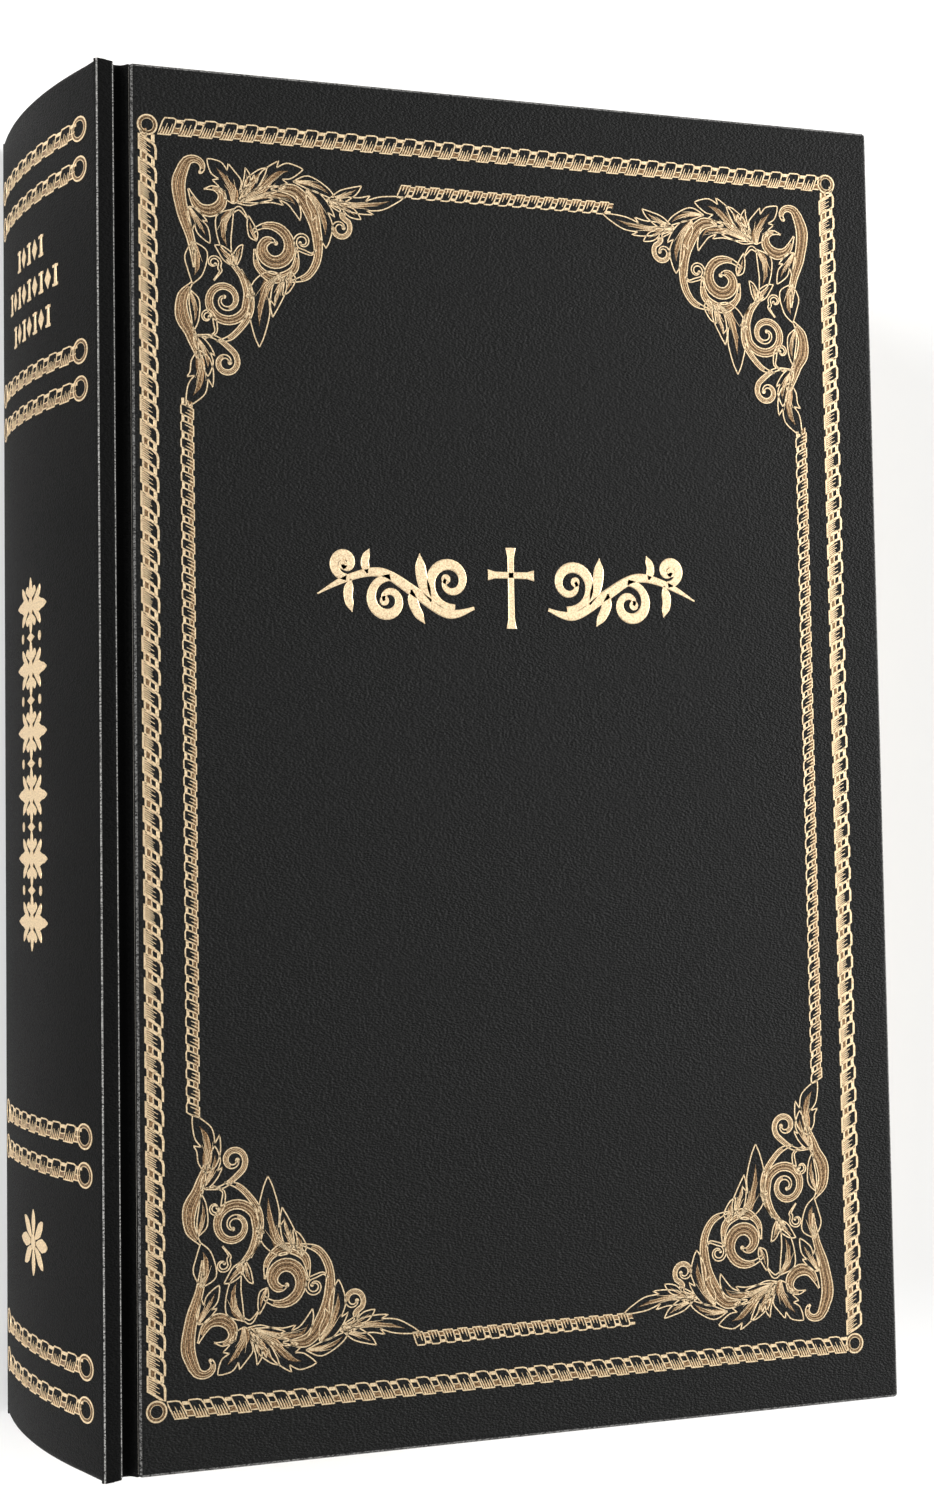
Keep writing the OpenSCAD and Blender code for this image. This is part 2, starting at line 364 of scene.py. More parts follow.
def spline(points, per=7):
    """Smooth curve through the points."""
    if len(points) < 3:
        return list(points)
    ends = [points[0]] + list(points) + [points[-1]]
    curve = []
    for a, b, c, d in zip(ends, ends[1:], ends[2:], ends[3:]):
        for i in range(per):
            t = i / per
            curve.append(tuple(0.5 * (2 * q + (r - p) * t + (2 * p - 5 * q + 4 * r - s) * t ** 2
                                      + (3 * q - p - 3 * r + s) * t ** 3)
                               for p, q, r, s in zip(a, b, c, d)))
    curve.append(tuple(points[-1]))
    return curve


def loft(rings, caps=True):
    """Points, faces and UVs of a skin over closed rings of points."""
    count = len(rings[0])
    verts = [v for ring in rings for v in ring]
    around = [0.0]
    for j in range(count):
        around.append(around[-1] + (rings[0][(j + 1) % count] - rings[0][j]).length)
    along = [0.0]
    for before, after in zip(rings, rings[1:]):
        along.append(along[-1] + (after[0] - before[0]).length)
    faces, uvs = [], []
    for i in range(len(rings) - 1):
        for j in range(count):
            k = (j + 1) % count
            faces.append((i * count + j, i * count + k, (i + 1) * count + k, (i + 1) * count + j))
            uvs += [(around[j], along[i]), (around[j + 1], along[i]),
                    (around[j + 1], along[i + 1]), (around[j], along[i + 1])]
    if caps:
        last = (len(rings) - 1) * count
        for face in (tuple(reversed(range(count))), tuple(range(last, last + count))):
            faces.append(face)
            uvs += [(verts[v][0], verts[v][1]) for v in face]
    return verts, faces, uvs


def sharpen(piece, degrees=35):
    """Keeps flat faces crisp while rounded edges stay smooth."""
    mesh = piece.data
    mesh.update()
    limit = radians(degrees)
    normals = [p.normal.copy() for p in mesh.polygons]
    owners = {}
    for poly in mesh.polygons:
        for key in poly.edge_keys:
            owners.setdefault(key, []).append(poly.index)
    for edge in mesh.edges:
        pair = owners.get(edge.key, [])
        edge.use_edge_sharp = len(pair) != 2 or normals[pair[0]].angle(normals[pair[1]], 0) > limit


# ---------------------------------------------------------------- covers
def cover_plan(inset):
    """Outline of a cover seen from above, moved inwards by inset, from the hinge end of the tail edge."""
    points = []
    for cx, cy, r, turn in ((BOARD_W, -HALF_H, CORNER_R, -90), (BOARD_W, HALF_H, CORNER_R, 0),
                            (0, HALF_H, EDGE_R, 90), (0, -HALF_H, EDGE_R, 180)):
        r_now = max(r - inset, 0.15)
        sx = 1 if cx > 0 else -1
        sy = 1 if cy > 0 else -1
        ox = cx - sx * (inset + r_now)
        oy = cy - sy * (inset + r_now)
        for i in range(7):
            a = radians(turn + 15 * i)
            points.append((ox + r_now * cos(a), oy + r_now * sin(a)))
    return points


def cover_profile():
    """Steps of (inset, height) over the outer face, round the edge and over the turn-in."""
    quarter = [radians(90 * i / 5) for i in range(6)]
    steps = [(EDGE_R + 0.6, 0.0)]
    steps += [(EDGE_R * (1 - sin(a)), EDGE_R * (1 - cos(a))) for a in quarter]
    steps += [(EDGE_R * (1 - cos(a)), COVER_T - EDGE_R * (1 - sin(a))) for a in quarter]
    steps += [(TURN_IN - 0.2, COVER_T), (TURN_IN, COVER_T - 0.2), (TURN_IN, COVER_T - LEATHER_T)]
    steps += [(LEATHER_T, COVER_T - LEATHER_T), (LEATHER_T, LEATHER_T)]
    return steps


WEAR_AND_SHEEN_STEPS = (2, 3, 9)               # steps of the profile where the leather's edge has worn specks and a painted highlight


def make_cover(name, node, body, front):
    """Leather skin of one cover, wrapped round its board."""
    rings = []
    for inset, height in cover_profile():
        z = FACE - height if front else height
        ring = [at(x, y, z) for x, y in cover_plan(inset)]
        rings.append(ring if front else ring[::-1])
    verts, faces, _ = loft(rings)
    faces = [face[::-1] for face in faces]
    count = len(rings[0])
    slots = [0] * len(faces)
    # faces along the board's edges that get worn specks and a painted highlight
    for i in WEAR_AND_SHEEN_STEPS:
        slots[i * count:(i + 1) * count] = [1] * count
    piece = add_piece(name, verts, faces, [BLACK, WORN_AND_SHEEN], slots)
    sharpen(piece)
    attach(piece, body)
    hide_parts(node)


make_cover("front_cover_skin", "front_cover_leather", "front_cover", True)
make_cover("back_cover_skin", "back_cover_leather", "back_half", False)


# ---------------------------------------------------------------- spine and joints
def on_spine(across, y, proud=0.0):
    """A point on the spine: across is the distance along its arc from the middle, towards the front."""
    a = across / SPINE_R
    r = SPINE_R + proud
    return at(SPINE_X - r * cos(a), y, MID_Z + r * sin(a))


ARC_END = SPINE_R * asin(HALF_T / SPINE_R)


def end_steps(thickness):
    """Rounded ends of a sheet along y: pairs of (y, how far its faces draw together)."""
    r = thickness / 2
    turns = [radians(18 * i) for i in range(5)]
    curve = [(HALF_H - r + r * sin(a), r * (1 - cos(a))) for a in turns]
    inner = [HALF_H * f for f in (0, 0.3, 0.6, 0.85)]
    half = [(y, 0.0) for y in inner] + curve
    return [(-y, d) for y, d in reversed(half[1:])] + half


def make_spine():
    """Curved leather shell whose head and tail are turned in over the card."""
    reach = ARC_END - RIDGE_R * 0.9
    steps = 40
    arc = [-reach + 2 * reach * i / steps for i in range(steps + 1)]
    rings = []
    for y, draw in end_steps(SPINE_T):
        rise = [1 + EAR / HALF_H * exp(-((ARC_END - abs(s)) / EAR_FADE_SPINE) ** 2) for s in arc]
        outer = [on_spine(s, y * r, -draw) for s, r in zip(arc, rise)]
        inner = [on_spine(s, y * r, -SPINE_T + draw) for s, r in zip(reversed(arc), reversed(rise))]
        rings.append(outer + inner)
    verts, faces, uvs = loft(rings)
    piece = add_piece("spine_skin", verts, faces, [SHADED_BLACK_UV], uvs=uvs)
    sharpen(piece, 50)
    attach(piece, "spine")
    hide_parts("spine_leather")


make_spine()


def rounded(points, radius, steps=4):
    """A path through (x, z) points with its inner corners rounded."""
    path = [points[0]]
    for before, corner, after in zip(points, points[1:], points[2:]):
        a = Vector(before) - Vector(corner)
        b = Vector(after) - Vector(corner)
        cut = min(radius, a.length * 0.48, b.length * 0.48)
        start = Vector(corner) + a.normalized() * cut
        end = Vector(corner) + b.normalized() * cut
        for i in range(steps + 1):
            t = i / steps
            p = start * (1 - t) ** 2 + Vector(corner) * 2 * t * (1 - t) + end * t * t
            path.append((p.x, p.y))
    path.append(points[-1])
    return path


def sheet_profile(path, thickness):
    """Closed outline of a sheet of leather whose outer face follows path."""
    inner = []
    for i, p in enumerate(path):
        before = path[max(i - 1, 0)]
        after = path[min(i + 1, len(path) - 1)]
        run = Vector((after[0] - before[0], after[1] - before[1])).normalized()
        inner.append((p[0] + run.y * thickness, p[1] - run.x * thickness))
    return path + inner[::-1]


def ear_reach(x):
    """Head and tail line of the case: it stands out in a small flat-topped ear at the ridge."""
    away = max(0.0, x - RIDGE_X - EAR_FLAT)
    return HALF_H + EAR * exp(-(away / EAR_FADE) ** 2)


def facing(z, front):
    """Height z near the front cover, or its mirror image near the back cover."""
    return z if front else SHOULDER_HIGH + SHOULDER_LOW - z


def make_strip(name, path, front, wear_and_sheen):
    """A strip of joint leather, with worn specks and a painted highlight where x is between two values; the
    back one mirrors the front one.
    """
    outline = sheet_profile(path, LEATHER_T)
    side = 0.5 if front else -0.5
    rings = []
    for y, draw in end_steps(LEATHER_T * 2):
        share = y / HALF_H
        ring = []
        for x, z in outline:
            y_now = share * ear_reach(x) if abs(share) > 0.9 else y
            ring.append(at(x, y_now, facing(z, front) - draw * side))
        rings.append(ring[::-1] if front else ring)
    verts, faces, uvs = loft(rings)
    count = len(outline)
    slots = [0] * len(faces)
    for i in range(len(faces) - 2):
        j = i % count
        k = count - 2 - j if front else j
        if 0 <= k < len(path) - 1 and wear_and_sheen[0] <= (path[k][0] + path[k + 1][0]) / 2 <= wear_and_sheen[1]:
            slots[i] = 1
    piece = add_piece(name, verts, faces, [SHADED_BLACK_UV, WORN_AND_SHEEN_UV], slots, uvs)
    sharpen(piece, 50)
    return piece


def finer(path, step):
    """The path with points added, so that none are further apart than step."""
    result = [path[0]]
    for a, b in zip(path, path[1:]):
        count = max(1, ceil(dist(a, b) / step))
        for i in range(1, count + 1):
            result.append((a[0] + (b[0] - a[0]) * i / count, a[1] + (b[1] - a[1]) * i / count))
    return result


def arc_point(s):
    """The (x, z) point of the spine's outer face at distance s along its arc."""
    p = on_spine(s, 0)
    return (p.x / MM - HINGE, p.z / MM)


ridge_stop = RIDGE_X + 1.6
ridge_end_z = SHOULDER_HIGH - 0.08
ridge_bend = [arc_point(ARC_END - RIDGE_R * 0.85), (RIDGE_X + 0.05, SHOULDER_HIGH),
              (ridge_stop, ridge_end_z)]
ridge_path = [arc_point(ARC_END - RIDGE_R * (0.9 - 0.02))] + rounded(ridge_bend, RIDGE_R, 6)
# where the ridge's edge gets worn specks and a painted highlight
ridge_wear_and_sheen = (RIDGE_X + 0.05, RIDGE_X + 0.3)
groove_bend = [(ridge_stop - 0.03, ridge_end_z), (-GROOVE_W - 0.25, LIP_Z),
               (-GROOVE_W + 0.3, FACE - GROOVE_D), (-0.75, FACE - GROOVE_D), (-0.05, FACE - 0.8)]
groove_path = finer(rounded(groove_bend, 0.55, 5), 0.1)
# where the lip beside the groove gets worn specks and a painted highlight
groove_wear_and_sheen = (-GROOVE_W - 0.45, -GROOVE_W - 0.15)

front_ridge = make_strip("front_ridge", ridge_path, True, ridge_wear_and_sheen)
back_ridge = make_strip("back_ridge", ridge_path, False, ridge_wear_and_sheen)
front_groove = make_strip("front_joint", groove_path, True, groove_wear_and_sheen)
back_groove = make_strip("back_joint", groove_path, False, groove_wear_and_sheen)
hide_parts("front_joint_leather")
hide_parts("back_joint_leather")
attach(back_groove, "back_half")
at(RIDGE_X + 1.3, 0, SHOULDER_HIGH)
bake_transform(front_ridge)
at(RIDGE_X + 1.3, 0, SHOULDER_LOW)
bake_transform(back_ridge)
at(-GROOVE_W, 0, FACE)
at(-0.1, 0, FACE)
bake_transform(front_groove)


# ---------------------------------------------------------------- leaves
FORE_HOLLOW = 2.6
BLOCK_LOW = box_mm("rear_flyleaf")[0][2]
BLOCK_HIGH = fly_high[2]
BLOCK_MID = (BLOCK_LOW + BLOCK_HIGH) / 2
FORE_HALF = (BLOCK_HIGH - BLOCK_LOW) / 2
FORE_R = (FORE_HALF ** 2 + FORE_HOLLOW ** 2) / (2 * FORE_HOLLOW)
GATHERINGS = 6                       # gatherings in each of the CAD model's groups
ENDPAPER_T = 0.22                    # a free endpaper
TITLE_T = 0.15                       # the title leaf
HINGE_PAPER_T = 0.04                 # the endpaper where it crosses the joint
rng = random.Random(7)


def fore_edge(z):
    """Where the leaves end at height z: the fore edge is hollow."""
    return FORE_X - FORE_HOLLOW + FORE_R - sqrt(FORE_R ** 2 - (z - BLOCK_MID) ** 2)


def leaf_columns(start, bend):
    """Places across a leaf from start: close together where it bends, then wide apart."""
    near = [start + bend * i / 14 for i in range(15)]
    return near + [start + bend + (FORE_X - start - bend) * f for f in (0.25, 0.6, 0.9)]


def leaf_ring(start, bend, z, shrink):
    """Outline of a stack of leaves at one height: along the tail, then back along the head."""
    xs = leaf_columns(start, bend) + [fore_edge(z) - shrink]
    half = BLOCK_HALF_H - shrink
    return [at(x, -half, z) for x in xs] + [at(x, half, z) for x in reversed(xs)]


def make_leaves(name, levels, start, bend, materials):
    """A stack of leaves from (height, shrink) levels; its flat faces are strips, so that it can bend."""
    rings = [leaf_ring(start, bend, z, shrink) for z, shrink in levels]
    verts, faces, _ = loft(rings, caps=False)
    slots = [1] * len(faces)
    uvs = []
    count = len(rings[0])
    heights = [z * MM for z, _ in levels]
    for ring, low, high in zip(rings, heights, heights[1:]):
        for a, b in zip(ring, ring[1:] + ring[:1]):
            uvs += [(low, a.x + a.y), (low, b.x + b.y), (high, b.x + b.y), (high, a.x + a.y)]
    half = count // 2
    for level, flip in ((0, False), (len(rings) - 1, True)):
        base = level * count
        for j in range(half - 1):
            face = (base + j, base + count - 1 - j, base + count - 2 - j, base + j + 1)
            if flip:
                face = face[::-1]
            faces.append(face)
            slots.append(0)
            uvs += [(verts[v].x, verts[v].y) for v in face]
    piece = add_piece(name, verts, faces, materials, slots, uvs)
    sharpen(piece, 40)
    return piece


def stack_levels(low, high):
    """Levels of one group: each gathering is a thin layer with edges that don't quite line up."""
    levels = []
    pitch = (high - low) / GATHERINGS
    for i in range(GATHERINGS):
        z = low + i * pitch
        shrink = 0.04 + 0.16 * rng.random()
        levels += [(z + 0.01, shrink + 0.1), (z + 0.09 * pitch, shrink), (z + 0.91 * pitch, shrink),
                   (z + pitch - 0.01, shrink + 0.1)]
    return levels


BEND_GAIN = 1.05                     # how wide a leaf's bend is for its distance from the spine's hinge


def make_group(node, front):
    """One of the CAD model's groups of gatherings, with its points close together in the gutter."""
    low, high = box_mm(node)
    height = (low[2] + high[2]) / 2
    depth = SHOULDER_HIGH - height if front else height - SHOULDER_LOW
    bend = max(BEND_GAIN * depth, 5)
    levels = stack_levels(low[2], high[2])
    piece = make_leaves(node.replace("gatherings", "leaves"), levels, BLOCK_X, bend, [LEAF_PAPER, EDGES])
    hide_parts(node)
    if front:
        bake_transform(piece)
    else:
        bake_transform(piece)


for number in range(1, 9):
    make_group("rear_gatherings_%d" % number, False)
    make_group("front_gatherings_%d" % number, True)


def make_leaf(name, z, thickness, start, bend, material):
    """One loose leaf."""
    return make_leaves(name, [(z, 0.1), (z + thickness, 0.1)], start, bend, [material, material])


rear_leaf = make_leaf("rear_flyleaf_sheet", BLOCK_LOW + 0.05, ENDPAPER_T, BLOCK_X, 10, ENDPAPER)
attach(rear_leaf, "back_half")
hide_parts("rear_flyleaf")


def make_turning_leaf(node, z, thickness, material):
    """One loose leaf that takes the place of a CAD node."""
    top = box_mm(node)[1][2]
    sheet = make_leaf(node + "_sheet", z, thickness, LEAF_X - 1.5, 11, material)
    at(LEAF_X - 1.4, 0, top)
    at(LEAF_X + 8, 0, top)
    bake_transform(sheet)
    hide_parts(node)


title_low, _ = box_mm("title_leaf")
make_turning_leaf("front_flyleaf", BLOCK_HIGH - 0.25, ENDPAPER_T, ENDPAPER)
make_turning_leaf("title_leaf", title_low[2] + 0.05, TITLE_T, LEAF_PAPER)


def make_hinge_paper(name, front):
    """Endpaper that runs from the leaves, under the joint, to the inside of a cover."""
    paste_z = box_mm("front_pastedown")[0][2]
    rise = ((BLOCK_X + 0.1, 0.04), (-3.3, 0.15), (-2.5, 0.75), (-1.6, 1.08), (-1.0, 1.05), (-0.45, 0.7))
    path = spline([(x, BLOCK_HIGH + z) for x, z in rise]
                  + [(0.1, paste_z - 0.02), (0.7, paste_z - 0.03), (1.6, paste_z - 0.03)], 6)
    outline = sheet_profile(path, HINGE_PAPER_T)
    rings = []
    for share in (-1, -0.5, 0, 0.5, 1):
        ring = [at(x, share * BLOCK_HALF_H, facing(z, front)) for x, z in outline]
        rings.append(ring[::-1] if front else ring)
    verts, faces, uvs = loft(rings)
    piece = add_piece(name, verts, faces, [ENDPAPER], uvs=uvs)
    sharpen(piece, 50)
    if front:
        at(-3.4, 0, BLOCK_HIGH)
        at(1.2, 0, BLOCK_HIGH)
        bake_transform(piece)
    else:
        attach(piece, "back_half")


make_hinge_paper("front_hinge_paper", True)
make_hinge_paper("back_hinge_paper", False)


# ---------------------------------------------------------------- CAD nodes that stay
def dress(node, material):
    """Gives a CAD node its procedural material."""
    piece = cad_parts[node]
    piece.data.materials.clear()
    piece.data.materials.append(material)


ENDPAPER_FLAT = paper("endpaper_flat", (0.74, 0.67, 0.53), (0.66, 0.59, 0.45), 0.6)
for material, nodes in ((BOARD, ("back_board", "front_board", "spine_card")),
                        (ENDPAPER_FLAT, ("back_pastedown", "front_pastedown", "front_endpaper_guard")),
                        (KRAFT, ("spine_lining",)),
                        (MULL, ("mull_cloth",))):
    for node in nodes:
        dress(node, material)


# ---------------------------------------------------------------- headband and tailband
BEAD_DEPTH = 0.85                    # half the bead's size across the block
BEAD_SIDES = 12
WRAP = 0.8                           # width of one wrap of thread
STRIPE_RINGS = 12                    # rings of points, four to a wrap, before the colour changes


def make_band(node):
    """A bead of thread wound in turns that change colour every few wraps."""
    low, high = box_mm(node)
    outer = SPINE_X + HINGE - low[0]
    half = (high[2] - low[2]) / 2
    thick_x, thick_y = BEAD_DEPTH, (high[1] - low[1]) / 2
    y_mid = (low[1] + high[1]) / 2
    steps = int(2 * half / (WRAP / 4))
    rings = []
    for i in range(steps + 1):
        z = -half + 2 * half * i / steps
        a = asin(z / (outer - thick_x))
        swell = 0.86 + 0.14 * abs(sin(pi * z / WRAP))
        ring = []
        for k in range(BEAD_SIDES):
            t = tau * k / BEAD_SIDES
            r = outer - thick_x + thick_x * swell * cos(t)
            y = y_mid + thick_y * swell * sin(t)
            ring.append(at(SPINE_X - r * cos(a), y, MID_Z + r * sin(a)))
        rings.append(ring)
    verts, faces, uvs = loft(rings)
    slots = [(i // BEAD_SIDES // STRIPE_RINGS) % 2 for i in range(len(faces))]
    piece = add_piece(node + "_threads", verts, faces, [PALE_THREAD, DARK_THREAD], slots, uvs)
    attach(piece, "spine")
    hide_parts(node)


make_band("headband")
make_band("tailband")


# ---------------------------------------------------------------- foil drawing
FOIL_TOP = 0.08                      # how far foil stands on the leather
LINE = 0.27                          # a normal outline
THIN = 0.15                          # a hatch line
BRIGHT, DIM = 0, 1


def headings(points, closed=False):
    """Left-hand unit normals along a path."""
    count = len(points)
    normals = []
    for i in range(count):
        before = points[i - 1] if i or closed else points[0]
        after = points[(i + 1) % count] if i < count - 1 or closed else points[-1]
        dx, dy = after[0] - before[0], after[1] - before[1]
        length = hypot(dx, dy) or 1.0
        normals.append((-dy / length, dx / length))
    return normals


def beside(points, distance):
    """The path moved to its left, by one distance or one for each point."""
    steps = distance if isinstance(distance, list) else [distance] * len(points)
    return [(p[0] + n[0] * d, p[1] + n[1] * d) for p, n, d in zip(points, headings(points), steps)]


def blend_list(values, count):
    """Values spread evenly over count places, with smooth steps between."""
    result = []
    for i in range(count):
        t = i / max(count - 1, 1) * (len(values) - 1)
        k = min(int(t), len(values) - 2)
        f = t - k
        f = f * f * (3 - 2 * f)
        result.append(values[k] * (1 - f) + values[k + 1] * f)
    return result


def coil(centre, radius, start, turns, end_share=0.25, per_turn=26):
    """Points of a spiral that winds inwards; start is its first angle in degrees, turns may be negative."""
    count = int(abs(turns) * per_turn)
    points = []
    for i in range(count + 1):
        t = i / count
        r = radius * (1 - (1 - end_share) * t ** 0.85)
        a = radians(start + 360 * turns * t)
        points.append((centre[0] + r * cos(a), centre[1] + r * sin(a)))
    return points


def circle(centre, radius, count, stretch=1.0):
    """Points round a circle, anticlockwise; stretch makes it wider than tall."""
    turns = [tau * i / count for i in range(count)]
    return [(centre[0] + stretch * radius * cos(a), centre[1] + radius * sin(a)) for a in turns]


class Foil:
    """Stamped foil made of flat-topped strokes; place turns (across, up, height) in mm into a point."""

    def __init__(self, place):
        self.verts = []
        self.faces = []
        self.slots = []
        self.move(place)

    def move(self, place):
        """Draws with another place from here on, and notes whether that mirrors the drawing."""
        self.place = place
        o, u, v, h = place(0, 0, 0), place(1, 0, 0), place(0, 1, 0), place(0, 0, 1)
        self.mirrored = (u - o).cross(v - o).dot(h - o) < 0

    def skin(self, face, slot):
        self.faces.append(tuple(reversed(face)) if self.mirrored else tuple(face))
        self.slots.append(slot)

    def stroke(self, points, width=LINE, slot=BRIGHT, closed=False, top=FOIL_TOP):
        """A line of foil; width is one value, or one for each point."""
        count = len(points)
        widths = width if isinstance(width, list) else [width] * count
        first = len(self.verts)
        for (x, y), (nx, ny), w in zip(points, headings(points, closed), widths):
            for side, height in ((0.5, 0), (-0.5, 0), (-0.4, top), (0.4, top)):
                self.verts.append(self.place(x + nx * w * side, y + ny * w * side, height))
        for i in range(count if closed else count - 1):
            a = first + 4 * i
            b = first + 4 * ((i + 1) % count)
            for k in range(4):
                m = (k + 1) % 4
                self.skin((a + k, b + k, b + m, a + m), slot)
        if not closed:
            last = first + 4 * (count - 1)
            self.skin((first, first + 1, first + 2, first + 3), slot)
            self.skin((last + 3, last + 2, last + 1, last), slot)

    def taper(self, points, widths):
        """A line whose width runs smoothly through widths."""
        self.stroke(points, blend_list(widths, len(points)))

    def plate(self, points, slot=BRIGHT, top=FOIL_TOP):
        """A flat patch with an outline that runs anticlockwise."""
        first = len(self.verts)
        count = len(points)
        for height in (0, top):
            self.verts += [self.place(x, y, height) for x, y in points]
        for i in range(count):
            j = (i + 1) % count
            self.skin((first + i, first + j, first + count + j, first + count + i), slot)
        self.skin(range(first + count, first + 2 * count), slot)
        self.skin(range(first + count - 1, first - 1, -1), slot)

    def ring(self, centre, radius, width=LINE, slot=BRIGHT, stretch=1.0):
        self.stroke(circle(centre, radius, 24, stretch), width, slot, closed=True)

    def dot(self, centre, radius):
        self.plate(circle(centre, radius, 12))

    def finish(self, name, node, body):
        """Makes the piece that stands for one CAD foil node."""
        piece = add_piece(name, self.verts, self.faces, [GOLD, DIM_GOLD], self.slots, smooth=False)
        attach(piece, body)
        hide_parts(node)


# ---------------------------------------------------------------- rope borders
def rope(foil, start, end, width, period, hatch_side, slant, hatches=4, bold=1.0):
    """Twisted rope: slanted barrels with hatched windows, and narrow links with a dark slot between them.

    period is one barrel and one link, slant leans them, hatches is the count of lines in a window, bold the
    weight of the outlines.
    """
    length = hypot(end[0] - start[0], end[1] - start[1])
    ux, uy = (end[0] - start[0]) / length, (end[1] - start[1]) / length
    count = max(1, round(length / period))
    pitch = length / count
    half = width / 2 - LINE / 2
    long_half = 0.31 * pitch

    def spot(along, side):
        """side is in half widths, positive towards the hatched side."""
        s = side * half * hatch_side
        t = along + slant * s
        return (start[0] + ux * t - uy * s, start[1] + uy * t + ux * s)

    for i in range(count):
        mid = (i + 0.5) * pitch
        wobble = 0.05 * pitch * sin(2.4 * i)
        low, high = mid - long_half, mid + long_half
        outline = [spot(low, 1), spot(high, 1), spot(high + 0.02 * pitch, 0.4), spot(high, -0.5),
                   spot(high - 0.06 * pitch, -0.9), spot(high - 0.2 * pitch, -1.02), spot(low, -1),
                   spot(low - 0.03 * pitch, -0.5), spot(low, 0.3)]
        foil.stroke(outline, LINE * bold, BRIGHT, closed=True)
        a, b = low + 0.06 * pitch, high - 0.06 * pitch
        window = [spot(a, 1), spot(a, 0.35), spot(b, 0.45), spot(b, 1)]
        foil.plate(window if hatch_side > 0 else window[::-1], DIM, FOIL_TOP * 0.4)
        for j in range(hatches):
            t = low + (high - low) * (j + 0.9) / (hatches + 0.8) + wobble * 0.3
            reach = 0.1 - 0.5 * sin(1.7 * j + 1.1 * i) ** 2
            foil.stroke([spot(t, 0.95), spot(t + 0.01 * pitch, 0.4), spot(t, reach)],
                        [THIN * 1.4, THIN * 1.3, THIN * 0.7])
        a, b = high + 0.02 * pitch, mid + pitch - long_half - 0.02 * pitch
        foil.stroke([spot(a, -0.68), spot(b, -0.68)], 0.5 * width / 3.1 + 0.1)
        foil.stroke([spot(a, 0.44), spot(b, 0.44)], 0.66 * half, DIM, top=FOIL_TOP * 0.5)
        foil.stroke([spot(a, 0.78), spot(b, 0.78)], THIN * 1.5 * bold)
        foil.stroke([spot(a, 0.1), spot((a + b) / 2 + wobble, 0.18), spot(b, 0.08)], THIN * 1.2 * bold)


def end_ring(foil, centre, size, stretch=1.0):
    """Two fine rings round a dark middle."""
    foil.ring(centre, size / 2 - LINE * 0.6, LINE * 1.2, stretch=stretch)
    foil.ring(centre, size / 2 - LINE * 1.9, THIN * 1.6, DIM, stretch)
    foil.ring(centre, size / 2 - LINE * 2.7, THIN * 0.8, stretch=stretch)


rope_low, rope_high = box_mm("front_rope_foil")
ROPE_W = 3.1
RING = 3.6                           # rings at the corners of the rope border
ROPE_X = (rope_high[0] - rope_low[0] - RING) / 2
ROPE_Y = (rope_high[1] - rope_low[1] - RING) / 2
CHAIN_W = 2.4
CHAIN_X = ROPE_X - 6.5
CHAIN_Y = ROPE_Y - 7.8
CORNER_W = 40.2
CORNER_H = 42
CORNER_EDGE_X = CHAIN_X + CHAIN_W
CORNER_EDGE_Y = CHAIN_Y + 1.5 * CHAIN_W


def on_front(x, y, height=0.0):
    """A point on the front cover, measured from the middle of the visible face."""
    return at(FACE_MID + x, y, FACE + height)


def make_front_rope():
    """The outer border: four ropes that meet in rings at the corners."""
    foil = Foil(on_front)
    gap = RING / 2 - 0.1
    for side in (-1, 1):
        rope(foil, (side * ROPE_X, -ROPE_Y + gap), (side * ROPE_X, ROPE_Y - gap), ROPE_W, 4.0, 1,
             -0.6 * side, 6, 1.6)
        rope(foil, (-ROPE_X + gap, side * ROPE_Y), (ROPE_X - gap, side * ROPE_Y), ROPE_W, 3.6, -1,
             0.45 * side)
        for end in (-1, 1):
            end_ring(foil, (side * ROPE_X, end * ROPE_Y), RING)
    foil.finish("front_rope", "front_rope_foil", "front_cover")


def make_front_chain():
    """The thin inner border, which runs from corner ornament to corner ornament."""
    foil = Foil(on_front)
    side_half = CORNER_EDGE_Y - CORNER_H
    top_half = CORNER_EDGE_X - CORNER_W
    for side in (-1, 1):
        rope(foil, (side * CHAIN_X, -side_half), (side * CHAIN_X, side_half), CHAIN_W, 2.8, -1,
             -0.5 * side, 2)
        rope(foil, (-top_half, side * CHAIN_Y), (top_half, side * CHAIN_Y), CHAIN_W, 2.8, 1,
             0.4 * side, 2)
    foil.finish("front_chain", "front_chain_foil", "front_cover")


make_front_rope()
make_front_chain()


# ---------------------------------------------------------------- scrolls and leaves
def stem(foil, path, widths, veins=2):
    """A stem with bright edges over a hatched core with fine veins."""
    w = blend_list(widths, len(path))
    for side in (-1, 1):
        foil.stroke(beside(path, [side * max(d - LINE, 0.1) / 2 for d in w]), LINE * 0.85)
    core = [i for i, d in enumerate(w) if d > 0.9]
    if len(core) > 3:
        inner = path[core[0]:core[-1] + 1]
        room = w[core[0]:core[-1] + 1]
        for v in range(veins):
            share = (v + 0.5) / veins - 0.5
            hatch = beside(inner, [share * (d - 2 * LINE) for d in room])
            foil.stroke(hatch, [0.8 * (d - 2 * LINE) / veins + 0.06 for d in room], DIM, top=FOIL_TOP * 0.5)
            foil.stroke(hatch, THIN * 0.55)


def scroll(foil, lead, centre, radius, start, turns, widths, ball=0.45, end_share=0.28):
    """A stem that runs along lead and winds up round centre, ending in a ball."""
    winding = coil(centre, radius, start, turns, end_share)
    path = spline(list(lead) + [winding[0], winding[3]], 8)[:-4] + winding[3:] if lead else winding
    stem(foil, path, widths)
    foil.dot(winding[-1], ball)


